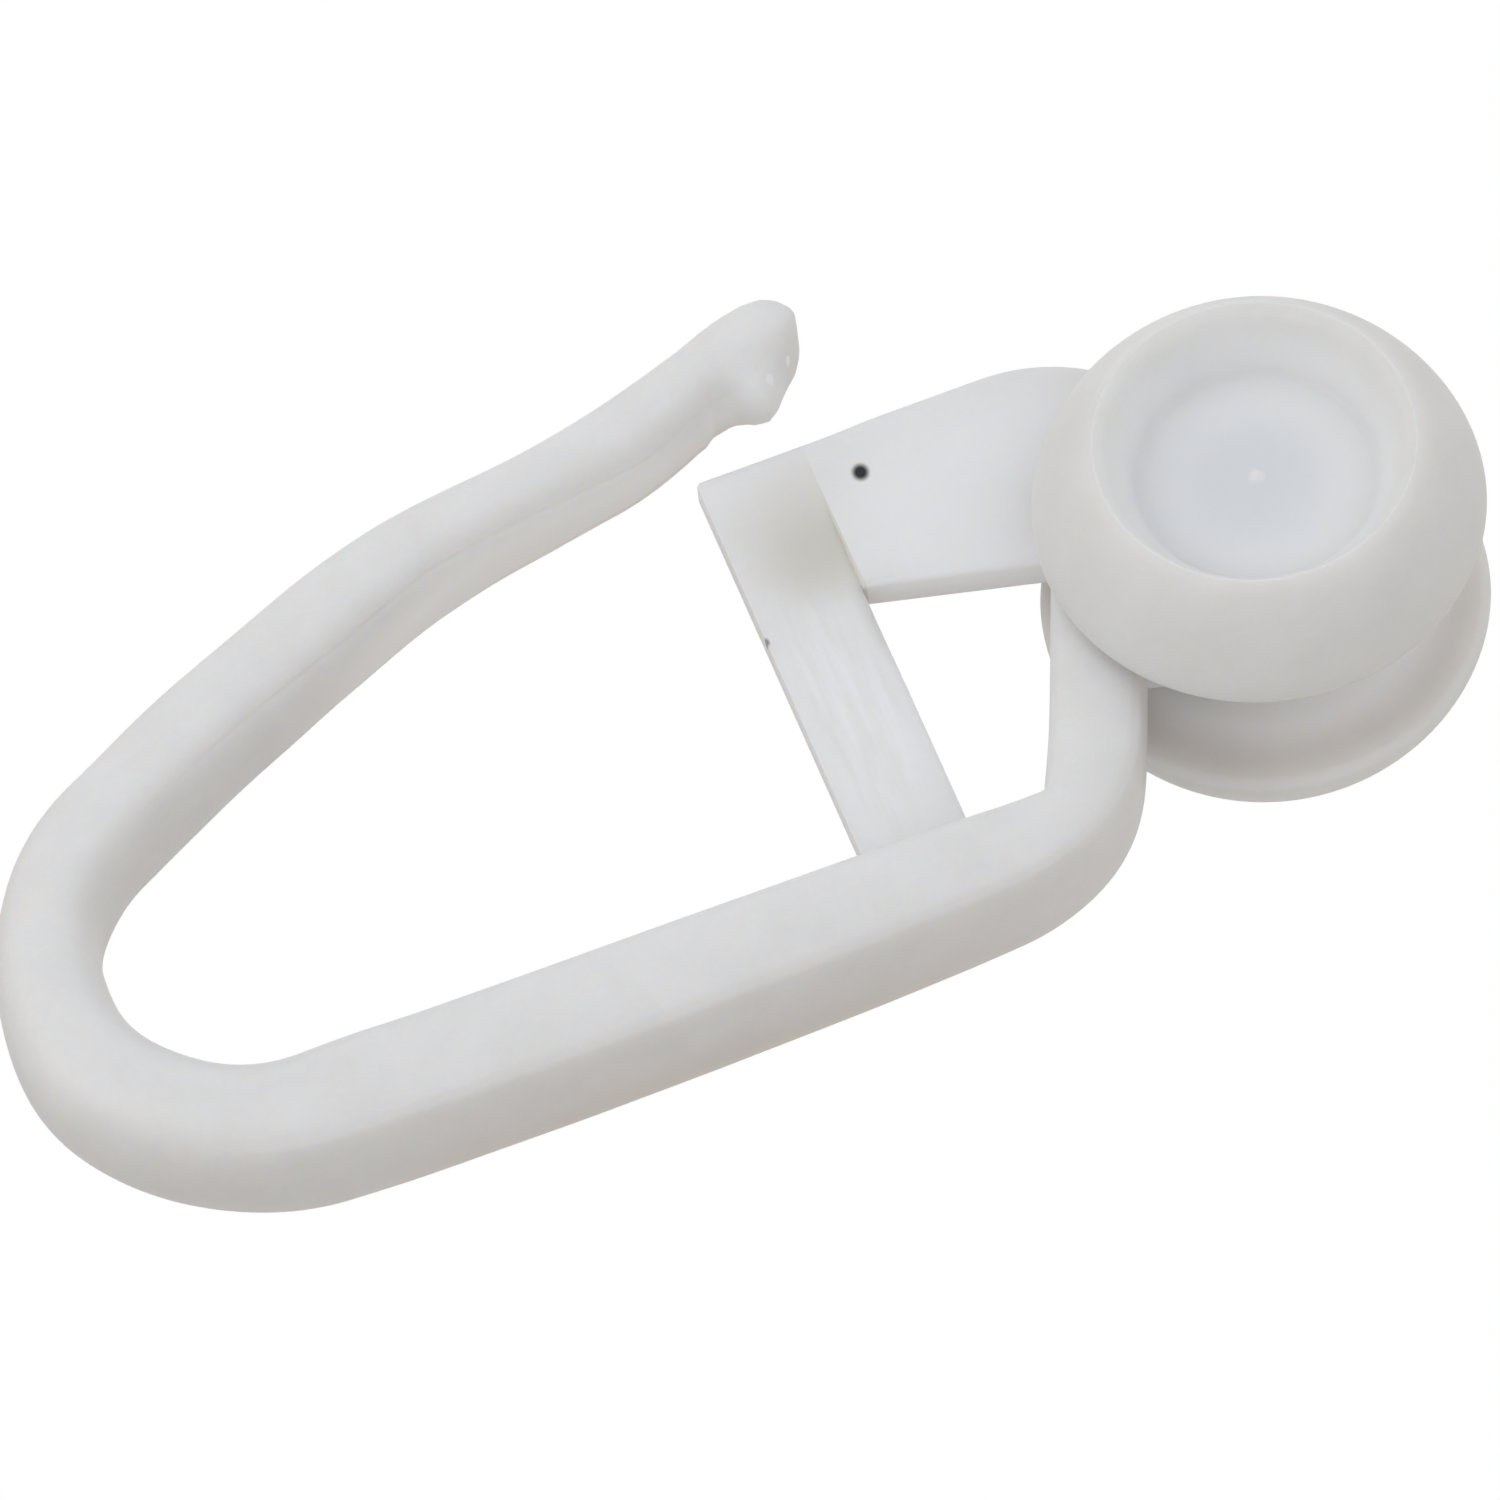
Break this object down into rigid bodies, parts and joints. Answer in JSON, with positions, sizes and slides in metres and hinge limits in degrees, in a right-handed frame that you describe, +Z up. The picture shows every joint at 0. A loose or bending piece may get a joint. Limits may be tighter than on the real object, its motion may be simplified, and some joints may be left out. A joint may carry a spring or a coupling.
{
  "type": "curtain glider",
  "caption": "Moulded plastic curtain hook with a barbed prong and a flat web, carried by dished push-fit rollers that run in a curtain track.",
  "frame": {"origin": "on the rollers' common axis, midway between the two rollers", "axes": "+X along the track towards the straight arm, +Y along the rollers' axis towards the rear roller, +Z up as it hangs"},
  "size_m": [0.0169, 0.0096, 0.0353],
  "materials": {
    "hook_plastic": "satin natural white moulded plastic",
    "roller_plastic": "satin natural white moulded plastic"
  },
  "bodies": {
    "hook": {"hook_body": "hook_plastic"},
    "front_wheel": {"front_roller": "roller_plastic"},
    "rear_wheel": {"rear_roller": "roller_plastic"}
  },
  "joints": [
    {"name": "front_roller_spin", "type": "hinge", "parent": "hook", "child": "front_wheel", "pos_m": [0, 0, 0], "axis": [0, 1, 0], "continuous": true},
    {"name": "rear_roller_spin", "type": "hinge", "parent": "hook", "child": "rear_wheel", "pos_m": [0, 0, 0], "axis": [0, 1, 0], "continuous": true}
  ]
}
